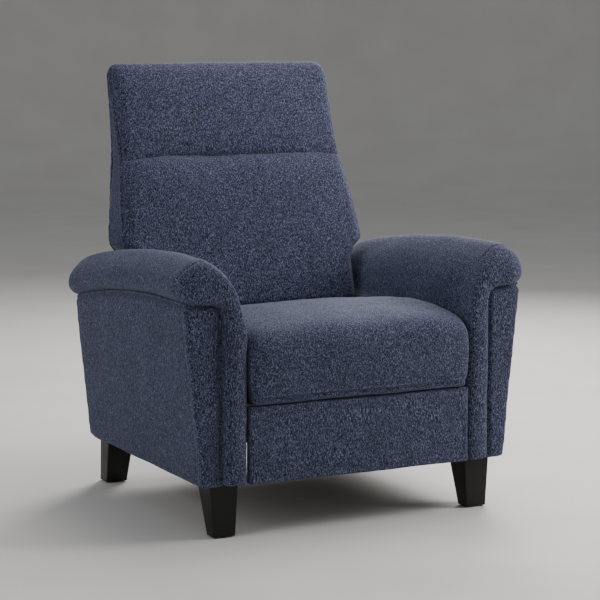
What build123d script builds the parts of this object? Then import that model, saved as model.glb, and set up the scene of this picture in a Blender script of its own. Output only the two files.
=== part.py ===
from build123d import *
from math import cos, radians, sin, tan
import os

# Push-back recliner armchair, upright and closed. Millimetres, +Z up, front faces -Y.
# While modelling, y runs backwards from the front of the arms; everything is centred on export.

# ---- overall sizes -------------------------------------------------------------------------
seat_width = 556.0            # between the inner faces of the arms
leg_height = 119.0            # floor to the underside of the arms
arm_depth = 676.0             # front to back of an arm
arm_height = 612.0            # floor to the highest point of the arm pads
overall_height = 1016.0       # floor to the top of the head cushion
seat_height = 478.0           # floor to the crown of the seat
seat_bulge = 12.0             # seat front ahead of the arm fronts

# ---- arms ----------------------------------------------------------------------------------
roll_width = 56.0             # padded roll on the front inner edge
roll_depth = 40.0
panel_recess = 12.0           # front panel behind the roll's face
inner_panel_thick = 21.7
outer_foot_width = 104.0      # arm width at its bottom edge
outer_flare = 0.1003          # sideways lean of the outer panel, per mm of height
outer_panel_thick = 15.0
pad_arc_radius = 2618.0       # the pads arch along their length
pad_crest_y = 130.0
pad_sweep = 18.0              # degrees of arc that the pad is cut from
pad_sweep_ahead = 4.5         # of them, those ahead of the crest
pad_drop = 92.0               # crest to underside of the pad
drape_drop = 182.0            # crest to the hem of the pad's inner drape
pad_overrun = 6.0             # pad past the rear of the arm
post_size = 45.0              # front to back of the arm posts
bottom_rail_height = 70.0
post_top_above_legs = 311.0

# ---- legs ----------------------------------------------------------------------------------
leg_top_width = 67.0
leg_foot_width = 53.0
front_leg_y = 36.0
front_leg_top_depth = 72.0
front_leg_foot_depth = 38.0
rear_leg_top_depth = 55.0
rear_leg_foot_depth = 46.0
rear_leg_rake = 33.0
glide_thick = 3.0
glide_radius = 12.0
leg_bolt_radius = 4.0
insert_radius = 6.5

# ---- back ----------------------------------------------------------------------------------
back_front_lean = 20.07       # degrees
back_rear_lean = 9.35
back_line_z = 587.0           # height at which the next two are measured
back_front_y = 569.0
back_rear_y = 698.5
wing_start_z = 580.0          # the back widens above the arms from here
wing_half_width = 322.0
shoulder_half_width = 293.0
shoulder_z = 800.0
head_seam_z = 788.0
cushion_foot_z = 440.0
back_foot_z = 290.0
back_side_gap = 3.0           # back to the arms, each side
back_panel_thick = 4.0
back_frame_thick = 20.0
strap_thick = 2.0
strap_width = 45.0
wing_frame_inset = 6.0
top_corner_radius = 28.0
back_post_width = 33.0

# ---- seat ----------------------------------------------------------------------------------
seat_side_gap = 1.0
cushion_depth = 505.0
seat_rail_thick = 25.0
seat_side_rail_thick = 23.7
seat_rail_foot_z = 292.0
seat_rail_height = 53.0
front_border_depth = 41.7
deck_thick = 4.6
spring_wire_half = 1.9
spring_count = 5
spring_spacing = 90.0
spring_half_swing = 20.0
spring_pitch = 22.0

# ---- footrest ------------------------------------------------------------------------------
footrest_height = 172.0
footrest_side_gap = 2.0
footrest_pad_thick = 22.0
footrest_board_thick = 12.0
footrest_edge_radius = 10.0
footrest_board_inset = 14.0

# ---- mechanism -----------------------------------------------------------------------------
plate_thick = 3.0
layer_gap = 1.0
eye_radius = 9.0
link_half_width = 7.5
swing_half_width = 10.0
pin_radius = 4.0
running_gap = 0.05            # radial, pins in the holes that turn on them
open_pin_gap = 0.4            # radial, at the open pivots of the parallelograms
closing_pin_radius = 3.5
closing_pin_gap = 1.3         # radial, at the last pivot of the footrest linkage
base_plate_gap = 5.0          # arm face to the base plates
swing_length = 90.0
swing_tilt = 20.0             # degrees back from upright, chair closed
swing_base_above_legs = 31.0
front_swing_y = 150.0
rear_swing_y = 430.0
lift_pivot_y = 139.0
guide_pivot_y = 60.0
lift_pivot_z = 264.0
lift_length = 213.0
lift_angle = -36.6
thrust_length = 275.0
thrust_angle = 157.65
tilt_along = 218.1            # tilt-link pivot on the lift link
tilt_offset = 25.9
tilt_length = 251.1
tilt_angle = 155.04
bracket_pivot_dy = 46.3
bracket_pivot_dz = 19.8
hinge_y = 575.0
hinge_z = 320.0
hinge_pin_radius = 5.0

# ---- clearances ----------------------------------------------------------------------------
seat_gap = 0.3                # faces that rest on each other
screw_radius = 3.0
screw_head_radius = 6.0
screw_gap = 0.05

half_seat = seat_width / 2
arm_bottom = leg_height
far = 2000.0


def front_y(z):
    """Front face line of the back."""
    return back_front_y + (z - back_line_z) * tan(radians(back_front_lean))


def rear_y(z):
    """Rear face line of the back."""
    return back_rear_y + (z - back_line_z) * tan(radians(back_rear_lean))


def outer_x(z):
    """Outer face line of an arm."""
    return half_seat + outer_foot_width + (z - arm_bottom) * outer_flare


def block(x0, x1, y0, y1, z0, z1):
    """Box between two corners."""
    size = Box(x1 - x0, y1 - y0, z1 - z0)
    return Pos((x0 + x1) / 2, (y0 + y1) / 2, (z0 + z1) / 2) * size


def prism_x(points, x0, x1):
    """Side outline of (y, z) points carried along X."""
    corners = [(x0, y, z) for y, z in points]
    face = Face(Wire.make_polygon(corners, close=True))
    return extrude(face, amount=x1 - x0, dir=(1, 0, 0))


def prism_y(points, y0, y1):
    """Front outline of (x, z) points carried along Y."""
    corners = [(x, y0, z) for x, z in points]
    face = Face(Wire.make_polygon(corners, close=True))
    return extrude(face, amount=y1 - y0, dir=(0, 1, 0))


def rod_x(y, z, radius, x0, x1):
    """Round bar along X."""
    bar = Cylinder(radius, x1 - x0)
    return Pos((x0 + x1) / 2, y, z) * Rot(0, 90, 0) * bar


def rod_z(x, y, radius, z0, z1):
    """Round bar along Z."""
    return Pos(x, y, (z0 + z1) / 2) * Cylinder(radius, z1 - z0)


def rod_y(x, z, radius, y0, y1):
    """Round bar along Y."""
    return Pos(x, (y0 + y1) / 2, z) * Rot(90, 0, 0) * Cylinder(radius, y1 - y0)


def other_side(shape):
    """The same piece on the chair's other side."""
    return mirror(shape, about=Plane.YZ)


def both_sides(shape):
    """A piece and its mirror image, as separate solids."""
    return solids_of(shape) + solids_of(other_side(shape))


def solids_of(*shapes):
    """Flat list of the solids in some shapes."""
    return [solid for shape in shapes for solid in shape.solids()]


nodes = {}


def keep(name, shapes):
    """Stores a node's solids."""
    nodes[name] = [s for shape in shapes for s in shape.solids()]


def keep_pair(name, shape):
    """Stores a piece as a left and a right node."""
    keep(name + "_right", [shape])
    keep(name + "_left", [other_side(shape)])


# ---- legs ----------------------------------------------------------------------------------
leg_x = half_seat + 42.5
rail_bottom = arm_bottom
rear_leg_y = arm_depth - rear_leg_top_depth


def tapered_leg(top_y, top_depth, foot_y, foot_depth):
    """Tapered wooden leg with softened edges."""
    top = Pos(leg_x, top_y + top_depth / 2, arm_bottom) * RectangleRounded(leg_top_width, top_depth, 4)
    foot = Pos(leg_x, foot_y + foot_depth / 2, glide_thick) * RectangleRounded(leg_foot_width, foot_depth, 4)
    return loft([foot, top])


leg_bolt_z0 = arm_bottom - 63
leg_bolt_z1 = arm_bottom + 25


def bolt_hole(y):
    """Hole in a leg for its hanger bolt."""
    return rod_z(leg_x, y, leg_bolt_radius + screw_gap, leg_bolt_z0 - 1, arm_bottom + 1)


front_bolt_y = front_leg_y + front_leg_foot_depth / 2 + 5
rear_bolt_y = rear_leg_y + rear_leg_top_depth / 2 + 6
front_foot_y = front_leg_y + front_leg_foot_depth / 2
rear_foot_y = rear_leg_y + rear_leg_rake + rear_leg_foot_depth / 2

front_leg = tapered_leg(front_leg_y, front_leg_top_depth, front_leg_y, front_leg_foot_depth)
rear_leg = tapered_leg(rear_leg_y, rear_leg_top_depth, rear_leg_y + rear_leg_rake, rear_leg_foot_depth)
keep_pair("leg_front", front_leg - bolt_hole(front_bolt_y))
keep_pair("leg_rear", rear_leg - bolt_hole(rear_bolt_y))

glides = [rod_z(leg_x, y, glide_radius, 0, glide_thick) for y in (front_foot_y, rear_foot_y)]
keep("leg_glides", [s for g in glides for s in both_sides(g)])


def leg_bolt(y):
    """Hanger bolt from a leg up into the arm."""
    return rod_z(leg_x, y, leg_bolt_radius, leg_bolt_z0, leg_bolt_z1)


def leg_insert(y):
    """Threaded insert in the arm's bottom rail."""
    sleeve = rod_z(leg_x, y, insert_radius, rail_bottom, leg_bolt_z1)
    return sleeve - rod_z(leg_x, y, leg_bolt_radius + screw_gap, rail_bottom - 1, leg_bolt_z1 + 1)


bolt_ys = (front_bolt_y, rear_bolt_y)
keep("leg_bolts", [s for y in bolt_ys for s in both_sides(leg_bolt(y))])
keep("leg_inserts", [s for y in bolt_ys for s in both_sides(leg_insert(y))])

# ---- arms ----------------------------------------------------------------------------------
arc_centre_z = arm_height - pad_arc_radius


def under_arc(drop):
    """Everything below the arch of the arm pad, a given drop under its crest."""
    return rod_x(pad_crest_y, arc_centre_z, pad_arc_radius - drop, 0, far)


rail_front = roll_depth + 0.5
rail_back = arm_depth - 10 - seat_gap
rail_top = arm_bottom + bottom_rail_height
post_top = arm_bottom + post_top_above_legs
base_plate_outer = half_seat - base_plate_gap
frame_inner = half_seat + inner_panel_thick + seat_gap


def frame_outer(z):
    """Outer face line of the wooden arm frame."""
    return outer_x(z) - outer_panel_thick - seat_gap


def flared_block(inner, y0, y1, z0, z1):
    """Wooden piece whose outer edge follows the arm's flare."""
    outline = [(inner, z0), (frame_outer(z0), z0), (frame_outer(z1), z1), (inner, z1)]
    return prism_y(outline, y0, y1)


bottom_rail = flared_block(base_plate_outer, rail_front, rail_back, rail_bottom, rail_top)
for bolt_y in bolt_ys:
    bottom_rail -= rod_z(leg_x, bolt_y, insert_radius + screw_gap, rail_bottom - 1, leg_bolt_z1 + 0.5)

plate_screw_ys = (front_swing_y - 25, (front_swing_y + rear_swing_y) / 2, rear_swing_y + 35)
swing_base_z = leg_height + swing_base_above_legs
screw_end = base_plate_outer + 27
for screw_y in plate_screw_ys:
    bottom_rail -= rod_x(screw_y, swing_base_z, screw_radius + screw_gap, base_plate_outer - 1, screw_end + 1)

front_post = flared_block(frame_inner, rail_front, rail_front + post_size, rail_top, post_top)
rear_post = flared_block(frame_inner, rail_back - post_size, rail_back, rail_top, post_top)
top_rail = flared_block(frame_inner, rail_front, rail_back, post_top, arm_height)
top_rail = top_rail & under_arc(pad_drop + seat_gap)
arm_frame = [bottom_rail, front_post, rear_post, top_rail]
keep("arm_frame_right", arm_frame)
keep("arm_frame_left", [other_side(s) for s in arm_frame])


def arm_pad():
    """Arched arm pad with a drape down the inner face and an overhang outside."""
    crest_x = half_seat + 88
    profile = [
        (half_seat, -drape_drop), (half_seat + 4, -175), (half_seat + 9, -131), (half_seat + 18, -81),
        (half_seat + 42, -37), (half_seat + 56, -24), (half_seat + 72, -11), (crest_x, 0),
        (half_seat + 117, -9), (half_seat + 142, -27), (half_seat + 157, -52), (half_seat + 157, -68),
        (half_seat + 147, -82), (half_seat + 132, -pad_drop),
    ]
    lifted = [(x, pad_crest_y, arm_height + z) for x, z in profile]
    top = Spline([lifted[0]] + lifted[2:])
    inner_top = (half_seat + inner_panel_thick, pad_crest_y, arm_height - pad_drop)
    inner_hem = (half_seat + inner_panel_thick, pad_crest_y, arm_height - drape_drop)
    under = Line(lifted[-1], inner_top)
    inside = Line(inner_top, inner_hem)
    hem = Line(inner_hem, lifted[0])
    section = make_face([top, under, inside, hem])
    axis = Axis((0, pad_crest_y, arc_centre_z), (1, 0, 0))
    pad = revolve(section, axis=axis, revolution_arc=-pad_sweep).rotate(axis, pad_sweep_ahead)
    return pad & block(0, far, 0, arm_depth + pad_overrun, 0, far)


keep_pair("arm_pad", arm_pad())

outer_left = half_seat + inner_panel_thick
roll_low = block(half_seat, outer_left, 0, roll_depth, arm_bottom, arm_height) & under_arc(drape_drop + seat_gap)
roll_high = block(outer_left + seat_gap, half_seat + roll_width, 0, roll_depth, arm_bottom, arm_height)
roll_join = block(half_seat, half_seat + roll_width, 0, roll_depth, arm_bottom, post_top - 20)
front_roll = (roll_high & under_arc(pad_drop + seat_gap)) + roll_low + roll_join
keep_pair("arm_front_roll", front_roll)

panel_left = half_seat + roll_width + seat_gap
front_outline = [
    (panel_left, arm_bottom), (outer_x(arm_bottom), arm_bottom),
    (outer_x(arm_height), arm_height), (panel_left, arm_height),
]
front_panel = prism_y(front_outline, panel_recess, roll_depth) & under_arc(pad_drop + seat_gap)
keep_pair("arm_front_panel", front_panel)

outer_outline = [
    (outer_x(arm_bottom) - outer_panel_thick, arm_bottom), (outer_x(arm_bottom), arm_bottom),
    (outer_x(arm_height), arm_height), (outer_x(arm_height) - outer_panel_thick, arm_height),
]
outer_panel = prism_y(outer_outline, roll_depth + seat_gap, arm_depth) & under_arc(pad_drop + seat_gap)
keep_pair("arm_outer_panel", outer_panel)

inner_panel_z0 = seat_rail_foot_z
inner_panel = block(half_seat, outer_left, roll_depth + seat_gap, arm_depth, inner_panel_z0, arm_height)
keep_pair("arm_inner_panel", inner_panel & under_arc(drape_drop + seat_gap))

arm_rear = flared_block(frame_inner, rail_back + seat_gap, arm_depth, arm_bottom, arm_height)
keep_pair("arm_rear_panel", arm_rear & under_arc(pad_drop + seat_gap))

# ---- base between the arms -----------------------------------------------------------------
cross_rail_z0 = arm_bottom + 6
cross_rail = block(-base_plate_outer, base_plate_outer, rail_back - 24, rail_back, cross_rail_z0, cross_rail_z0 + 60)
keep("base_rear_rail", [cross_rail])
lower_rear_z1 = seat_rail_foot_z - 7
lower_rear = block(-outer_left, outer_left, rail_back + seat_gap, arm_depth, arm_bottom, lower_rear_z1)
keep("lower_rear_panel", [lower_rear])

# ---- mechanism layers, from the arm inwards -------------------------------------------------
base_plate_x1 = base_plate_outer
base_plate_x0 = base_plate_x1 - plate_thick
swing_x1 = base_plate_x0 - layer_gap
swing_x0 = swing_x1 - plate_thick
seat_plate_x1 = swing_x0 - layer_gap
seat_plate_x0 = seat_plate_x1 - plate_thick
lift_x1 = seat_plate_x0 - layer_gap
lift_x0 = lift_x1 - plate_thick
thrust_x1 = lift_x0 - layer_gap
thrust_x0 = thrust_x1 - plate_thick
bracket_x1 = thrust_x0 - layer_gap
bracket_x0 = bracket_x1 - plate_thick
tilt_x1 = bracket_x0 - layer_gap
tilt_x0 = tilt_x1 - plate_thick


def polar(origin, length, angle):
    """Point at a distance and an angle from another, in the side view."""
    return (origin[0] + length * cos(radians(angle)), origin[1] + length * sin(radians(angle)))


def moved(origin, dy, dz):
    """Point shifted in the side view."""
    return (origin[0] + dy, origin[1] + dz)


front_swing_base = (front_swing_y, swing_base_z)
rear_swing_base = (rear_swing_y, swing_base_z)
front_swing_top = polar(front_swing_base, swing_length, 90 - swing_tilt)
rear_swing_top = polar(rear_swing_base, swing_length, 90 - swing_tilt)
lift_pivot = (lift_pivot_y, lift_pivot_z)
guide_pivot = (guide_pivot_y, lift_pivot_z)
lift_end = polar(lift_pivot, lift_length, lift_angle)
guide_end = polar(guide_pivot, lift_length, lift_angle)
thrust_end = polar(lift_end, thrust_length, thrust_angle)
tilt_start = polar(polar(lift_pivot, tilt_along, lift_angle), tilt_offset, lift_angle + 90)
tilt_end = polar(tilt_start, tilt_length, tilt_angle)
bracket_pivot = moved(thrust_end, bracket_pivot_dy, bracket_pivot_dz)
back_hinge = (hinge_y, hinge_z)


def bar(start, end, half_width, x0, x1):
    """Flat bar with rounded ends between two points."""
    dy = end[0] - start[0]
    dz = end[1] - start[1]
    length = (dy * dy + dz * dz) ** 0.5
    path = Vector(0, dy, dz)
    angle = Vector(0, 1, 0).get_signed_angle(path, Vector(1, 0, 0))
    strip = Pos((x0 + x1) / 2, (start[0] + end[0]) / 2, (start[1] + end[1]) / 2)
    strip = strip * Rot(angle, 0, 0) * Box(x1 - x0, length, 2 * half_width)
    return strip + rod_x(*start, eye_radius, x0, x1) + rod_x(*end, eye_radius, x0, x1)


def bored(shape, point, radius, x0, x1):
    """Hole through a plate."""
    return shape - rod_x(*point, radius, x0 - 1, x1 + 1)


def pin(point, radius, x0, x1, head_x0, head_x1):
    """Rivet with one flat head."""
    return rod_x(*point, radius, x0, x1) + rod_x(*point, radius + 2.5, head_x0, head_x1)


run_hole = pin_radius + running_gap
open_hole = pin_radius + open_pin_gap
closing_hole = closing_pin_radius + closing_pin_gap

# base plates, cross tube and their fasteners
plate_z0 = swing_base_z - 25
base_plate = block(base_plate_x0, base_plate_x1, front_swing_y - 40, rear_swing_y + 50, plate_z0, plate_z0 + 50)
for point in (front_swing_base, rear_swing_base):
    base_plate = bored(base_plate, point, run_hole, base_plate_x0, base_plate_x1)
for screw_y in plate_screw_ys:
    base_plate = bored(base_plate, (screw_y, swing_base_z), screw_radius + screw_gap, base_plate_x0, base_plate_x1)
keep("base_plates", both_sides(base_plate))

tube_y0 = rear_swing_y - 50
tube_z0 = swing_base_z - 22
tube_side = 25.0
tube_wall = 2.0
tube = block(-base_plate_x0, base_plate_x0, tube_y0, tube_y0 + tube_side, tube_z0, tube_z0 + tube_side)
bore = block(
    -far, far, tube_y0 + tube_wall, tube_y0 + tube_side - tube_wall,
    tube_z0 + tube_wall, tube_z0 + tube_side - tube_wall,
)
keep("base_cross_tube", [tube - bore])


def plate_screw(y):
    """Screw from a base plate into the arm's bottom rail."""
    shank = rod_x(y, swing_base_z, screw_radius, base_plate_x0 - 1, screw_end)
    return shank + rod_x(y, swing_base_z, screw_head_radius, base_plate_x0 - 3, base_plate_x0)


keep("base_plate_screws", [s for y in plate_screw_ys for s in both_sides(plate_screw(y))])

swing_pins = [pin(p, pin_radius, swing_x0, base_plate_x1, swing_x0 - 0.8, swing_x0 - 0.1)
              + rod_x(*p, pin_radius, swing_x0 - 0.5, swing_x0 + 0.5)
              for p in (front_swing_base, rear_swing_base)]
keep("swing_base_rivets", [s for p in swing_pins for s in both_sides(p)])


def swing_link(base, top, top_hole):
    """Swing link that carries the seat on the base."""
    link = bar(base, top, swing_half_width, swing_x0, swing_x1)
    link = link + rod_x(*base, swing_half_width, swing_x0, swing_x1)
    link = link + rod_x(*top, swing_half_width, swing_x0, swing_x1)
    link = bored(link, base, run_hole, swing_x0, swing_x1)
    return bored(link, top, top_hole, swing_x0, swing_x1)


keep("front_swing_links", both_sides(swing_link(front_swing_base, front_swing_top, run_hole)))
keep("rear_swing_links", both_sides(swing_link(rear_swing_base, rear_swing_top, open_hole)))

# ---- seat ----------------------------------------------------------------------------------
seat_rail_top = seat_rail_foot_z + seat_rail_height
side_rail_top = seat_rail_top + 2 * spring_wire_half + deck_thick + seat_gap
side_rail_x1 = seat_plate_x0 - seat_gap
side_rail_x0 = side_rail_x1 - seat_side_rail_thick
rail_y0 = front_border_depth - seat_bulge + seat_gap
rail_y1 = cushion_depth + 5
plate_screw_z = seat_rail_foot_z + 26
seat_screw_ys = (rail_y0 + 60, rail_y0 + 220, rail_y0 + 400)
seat_screw_end = side_rail_x1 - 18

side_rail = block(side_rail_x0, side_rail_x1, rail_y0, rail_y1, seat_rail_foot_z, side_rail_top)
for screw_y in seat_screw_ys:
    side_rail -= rod_x(screw_y, plate_screw_z, screw_radius + screw_gap, seat_screw_end - 1, far)
keep("seat_side_rails", both_sides(side_rail))

rail_end = side_rail_x0 - seat_gap
spring_xs = [(i - (spring_count - 1) / 2) * spring_spacing for i in range(spring_count)]
spring_y0 = rail_y0 + seat_rail_thick / 2
spring_y1 = rail_y1 - seat_rail_thick / 2
spring_z0 = seat_rail_top
spring_z1 = seat_rail_top + 2 * spring_wire_half
spring_foot_z = seat_rail_top - 20


def seat_rail(y0, spring_y):
    """Cross rail of the seat frame, with sockets for the spring ends."""
    socket = spring_wire_half + screw_gap
    rail = block(-rail_end, rail_end, y0, y0 + seat_rail_thick, seat_rail_foot_z, seat_rail_top)
    for x in spring_xs:
        rail -= block(x - socket, x + socket, spring_y - socket, spring_y + socket, spring_foot_z - 1, far)
    return rail


keep("seat_front_rail", [seat_rail(rail_y0, spring_y0)])
keep("seat_rear_rail", [seat_rail(rail_y1 - seat_rail_thick, spring_y1)])


def spring_run(start, end, z0, z1):
    """Straight run of square spring wire between two plan points."""
    xs = sorted((start[0], end[0]))
    ys = sorted((start[1], end[1]))
    half = spring_wire_half
    return block(xs[0] - half, xs[1] + half, ys[0] - half, ys[1] + half, z0, z1)


def zigzag_spring():
    """Sinuous seat spring with both ends turned down into the rails."""
    loops = int((spring_y1 - spring_y0 - 50) / spring_pitch / 2) * 2
    first = (spring_y0 + spring_y1 - loops * spring_pitch) / 2
    path = [(0, spring_y0), (0, first)]
    for i in range(loops):
        side = spring_half_swing if i % 2 == 0 else -spring_half_swing
        path.append((side, first + i * spring_pitch))
        path.append((side, first + (i + 1) * spring_pitch))
    path.append((0, first + loops * spring_pitch))
    path.append((0, spring_y1))
    runs = [spring_run(a, b, spring_z0, spring_z1) for a, b in zip(path, path[1:])]
    runs += [spring_run(end, end, spring_foot_z, spring_z1) for end in (path[0], path[-1])]
    return runs[0].fuse(*runs[1:])


first_spring = zigzag_spring()
keep("seat_springs", [Pos(x, 0, 0) * first_spring for x in spring_xs])

deck_z0 = spring_z1 + seat_gap
deck = block(-rail_end, rail_end, rail_y0 + 2, rail_y1 - 2, deck_z0, side_rail_top)
keep("seat_deck", [deck])

cushion_half = half_seat - seat_side_gap
cushion_z0 = side_rail_top + seat_gap
cushion_outline = [
    (-seat_bulge + 6, cushion_z0), (-seat_bulge, cushion_z0 + 30), (-seat_bulge + 2, seat_height - 52),
    (-seat_bulge + 16, seat_height - 34), (60, seat_height - 14), (190, seat_height),
    (300, seat_height - 5), (cushion_depth - 8, seat_height - 22), (cushion_depth, seat_height - 40),
    (cushion_depth - 28, cushion_z0),
]
keep("seat_cushion", [prism_x(cushion_outline, -cushion_half, cushion_half)])
border_outline = [
    (-seat_bulge + 8, seat_rail_foot_z), (-seat_bulge + 5, cushion_z0 - seat_gap),
    (rail_y0 - seat_gap, cushion_z0 - seat_gap), (rail_y0 - seat_gap, seat_rail_foot_z),
]
keep("seat_front_border", [prism_x(border_outline, -cushion_half, cushion_half)])

# seat plates carry every pivot on the seat
front_lug_y0 = guide_pivot_y - 14
front_lug_y1 = front_swing_top[0] + 15
rear_lug_y0 = rear_swing_top[0] - 15
rear_lug_y1 = rear_swing_top[0] + 15
lug_z0 = front_swing_top[1] - 14
plate_outline = [
    (front_lug_y0, seat_rail_top), (front_lug_y0, lift_pivot_z - 14), (front_swing_top[0] - 30, lug_z0),
    (front_lug_y1, lug_z0), (front_lug_y1, seat_rail_foot_z), (rear_lug_y0, seat_rail_foot_z),
    (rear_lug_y0, lug_z0), (rear_lug_y1, lug_z0), (rear_lug_y1 + 25, seat_rail_foot_z),
    (hinge_y - 5, hinge_z - 18), (hinge_y + 14, hinge_z - 10), (hinge_y + 14, hinge_z + 14),
    (hinge_y - 15, seat_rail_top),
]
seat_plate = prism_x(plate_outline, seat_plate_x0, seat_plate_x1)
for point in (lift_pivot, guide_pivot, front_swing_top, rear_swing_top):
    seat_plate = bored(seat_plate, point, run_hole, seat_plate_x0, seat_plate_x1)
seat_plate = bored(seat_plate, back_hinge, hinge_pin_radius + running_gap, seat_plate_x0, seat_plate_x1)
for screw_y in seat_screw_ys:
    seat_plate = bored(seat_plate, (screw_y, plate_screw_z), screw_radius + screw_gap, seat_plate_x0, seat_plate_x1)
keep("seat_plates", both_sides(seat_plate))

seat_pins = [pin(p, pin_radius, seat_plate_x0, swing_x1, swing_x1 + 0.2, swing_x1 + 1.7)
             + rod_x(*p, pin_radius, swing_x1 - 0.5, swing_x1 + 0.5)
             for p in (front_swing_top, rear_swing_top)]
seat_pins += [pin(p, pin_radius, lift_x0, seat_plate_x1, seat_plate_x1, seat_plate_x1 + 1.5)
              for p in (lift_pivot, guide_pivot)]
keep("seat_plate_rivets", [s for p in seat_pins for s in both_sides(p)])


def seat_screw(y):
    """Screw from a seat plate into the wooden side rail."""
    shank = rod_x(y, plate_screw_z, screw_radius, seat_screw_end, seat_plate_x1 + 1)
    return shank + rod_x(y, plate_screw_z, screw_head_radius, seat_plate_x1, seat_plate_x1 + 2.5)


keep("seat_plate_screws", [s for y in seat_screw_ys for s in both_sides(seat_screw(y))])

# ---- footrest linkage ----------------------------------------------------------------------
lift_link = bar(lift_pivot, lift_end, link_half_width, lift_x0, lift_x1)
lift_link = lift_link + bar(lift_end, tilt_start, link_half_width, lift_x0, lift_x1)
lift_link = bored(lift_link, lift_pivot, run_hole, lift_x0, lift_x1)
lift_link = bored(lift_link, lift_end, run_hole, lift_x0, lift_x1)
lift_link = bored(lift_link, tilt_start, run_hole, lift_x0, lift_x1)
keep("lift_links", both_sides(lift_link))

guide_link = bar(guide_pivot, guide_end, link_half_width, lift_x0, lift_x1)
guide_link = bored(guide_link, guide_pivot, run_hole, lift_x0, lift_x1)
guide_link = bored(guide_link, guide_end, run_hole, lift_x0, lift_x1)
keep("guide_links", both_sides(guide_link))

thrust_link = bar(lift_end, guide_end, link_half_width, thrust_x0, thrust_x1)
thrust_link = thrust_link + bar(guide_end, thrust_end, link_half_width, thrust_x0, thrust_x1)
thrust_link = bored(thrust_link, lift_end, run_hole, thrust_x0, thrust_x1)
thrust_link = bored(thrust_link, guide_end, open_hole, thrust_x0, thrust_x1)
thrust_link = bored(thrust_link, thrust_end, run_hole, thrust_x0, thrust_x1)
keep("thrust_links", both_sides(thrust_link))

tilt_link = bar(tilt_start, tilt_end, link_half_width, tilt_x0, tilt_x1)
tilt_link = bored(tilt_link, tilt_start, run_hole, tilt_x0, tilt_x1)
tilt_link = bored(tilt_link, tilt_end, closing_pin_radius + running_gap, tilt_x0, tilt_x1)
keep("tilt_links", both_sides(tilt_link))

lift_pins = [rod_x(*lift_end, pin_radius, thrust_x0, lift_x1), rod_x(*tilt_start, pin_radius, tilt_x0, lift_x1)]
keep("lift_link_rivets", [s for p in lift_pins for s in both_sides(p)])
keep("guide_link_rivets", both_sides(rod_x(*guide_end, pin_radius, thrust_x0, lift_x1)))
keep("thrust_link_rivets", both_sides(rod_x(*thrust_end, pin_radius, bracket_x0, thrust_x1)))
keep("tilt_link_rivets", both_sides(rod_x(*tilt_end, closing_pin_radius, tilt_x0, bracket_x1)))

# ---- footrest ------------------------------------------------------------------------------
footrest_z0 = arm_bottom
footrest_z1 = footrest_z0 + footrest_height
pad_half = half_seat - footrest_side_gap
pad = block(-pad_half, pad_half, 0, footrest_pad_thick, footrest_z0, footrest_z1)
pad = fillet(pad.faces().sort_by(Axis.Y)[0].edges(), footrest_edge_radius)
keep("footrest_pad", [pad])

board_y0 = footrest_pad_thick + seat_gap
board_y1 = board_y0 + footrest_board_thick
board_half = pad_half - footrest_board_inset
flange_y0 = board_y1 + seat_gap
flange_y1 = flange_y0 + plate_thick
flange_z0 = footrest_z0 + 46
flange_z1 = footrest_z0 + 126
flange_x0 = bracket_x0 - 28
board_screw_x = bracket_x0 - 16
board_screw_zs = (flange_z0 + 15, flange_z1 - 15)
board = block(-board_half, board_half, board_y0, board_y1, footrest_z0 + footrest_board_inset,
              footrest_z1 - footrest_board_inset)
for z in board_screw_zs:
    for x in (-board_screw_x, board_screw_x):
        board -= rod_y(x, z, screw_radius + screw_gap, board_y1 - 9, board_y1 + 1)
keep("footrest_board", [board])

arm_outline = [
    (flange_y0, flange_z0), (flange_y1, flange_z0),
    (thrust_end[0] + 10, thrust_end[1] - 14), (bracket_pivot[0] + 9, bracket_pivot[1] - 9),
    (bracket_pivot[0] + 9, bracket_pivot[1] + 7), (bracket_pivot[0] - 6, bracket_pivot[1] + 9),
    (thrust_end[0] - 10, thrust_end[1] + 12), (flange_y0, flange_z1),
]
bracket = prism_x(arm_outline, bracket_x0, bracket_x1)
bracket = bracket + block(flange_x0, bracket_x1, flange_y0, flange_y1, flange_z0, flange_z1)
bracket = bored(bracket, thrust_end, run_hole, bracket_x0, bracket_x1)
bracket = bored(bracket, bracket_pivot, closing_hole, bracket_x0, bracket_x1)
for z in board_screw_zs:
    bracket -= rod_y(board_screw_x, z, screw_radius + screw_gap, flange_y0 - 1, flange_y1 + 1)
keep("footrest_brackets", both_sides(bracket))


def board_screw(z):
    """Screw from the footrest bracket into the board."""
    shank = rod_y(board_screw_x, z, screw_radius, board_y1 - 8, flange_y1 + 1)
    return shank + rod_y(board_screw_x, z, screw_head_radius, flange_y1, flange_y1 + 2.5)


keep("footrest_screws", [s for z in board_screw_zs for s in both_sides(board_screw(z))])

# ---- back ----------------------------------------------------------------------------------
back_half = half_seat - back_side_gap
back_top = overall_height - 6


def back_slab(z0, z1, depth0, depth1, x0, x1):
    """Slab parallel to the rear face, between two depths ahead of it."""
    outline = [
        (rear_y(z0) - depth1, z0), (rear_y(z0) - depth0, z0),
        (rear_y(z1) - depth0, z1), (rear_y(z1) - depth1, z1),
    ]
    return prism_x(outline, x0, x1)


def wing_outline(inset, top):
    """Front outline of the back above the arms."""
    waist_z = (wing_start_z + shoulder_z) / 2
    waist_half = (wing_half_width + shoulder_half_width) / 2 + 6
    right = [
        (wing_half_width - inset, wing_start_z), (waist_half - inset, waist_z),
        (shoulder_half_width - inset, shoulder_z), (shoulder_half_width - inset, top - top_corner_radius),
        (shoulder_half_width - inset - 8, top - 8), (shoulder_half_width - inset - top_corner_radius, top),
    ]
    left = [(-x, z) for x, z in reversed(right)]
    return prism_y(right + left, 0, far)


frame_depth0 = back_panel_thick + seat_gap
frame_depth1 = frame_depth0 + back_frame_thick
strap_depth0 = frame_depth1 + seat_gap
strap_depth1 = strap_depth0 + strap_thick
foam_depth = strap_depth1 + seat_gap
lower_split_z = wing_start_z - seat_gap

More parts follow.
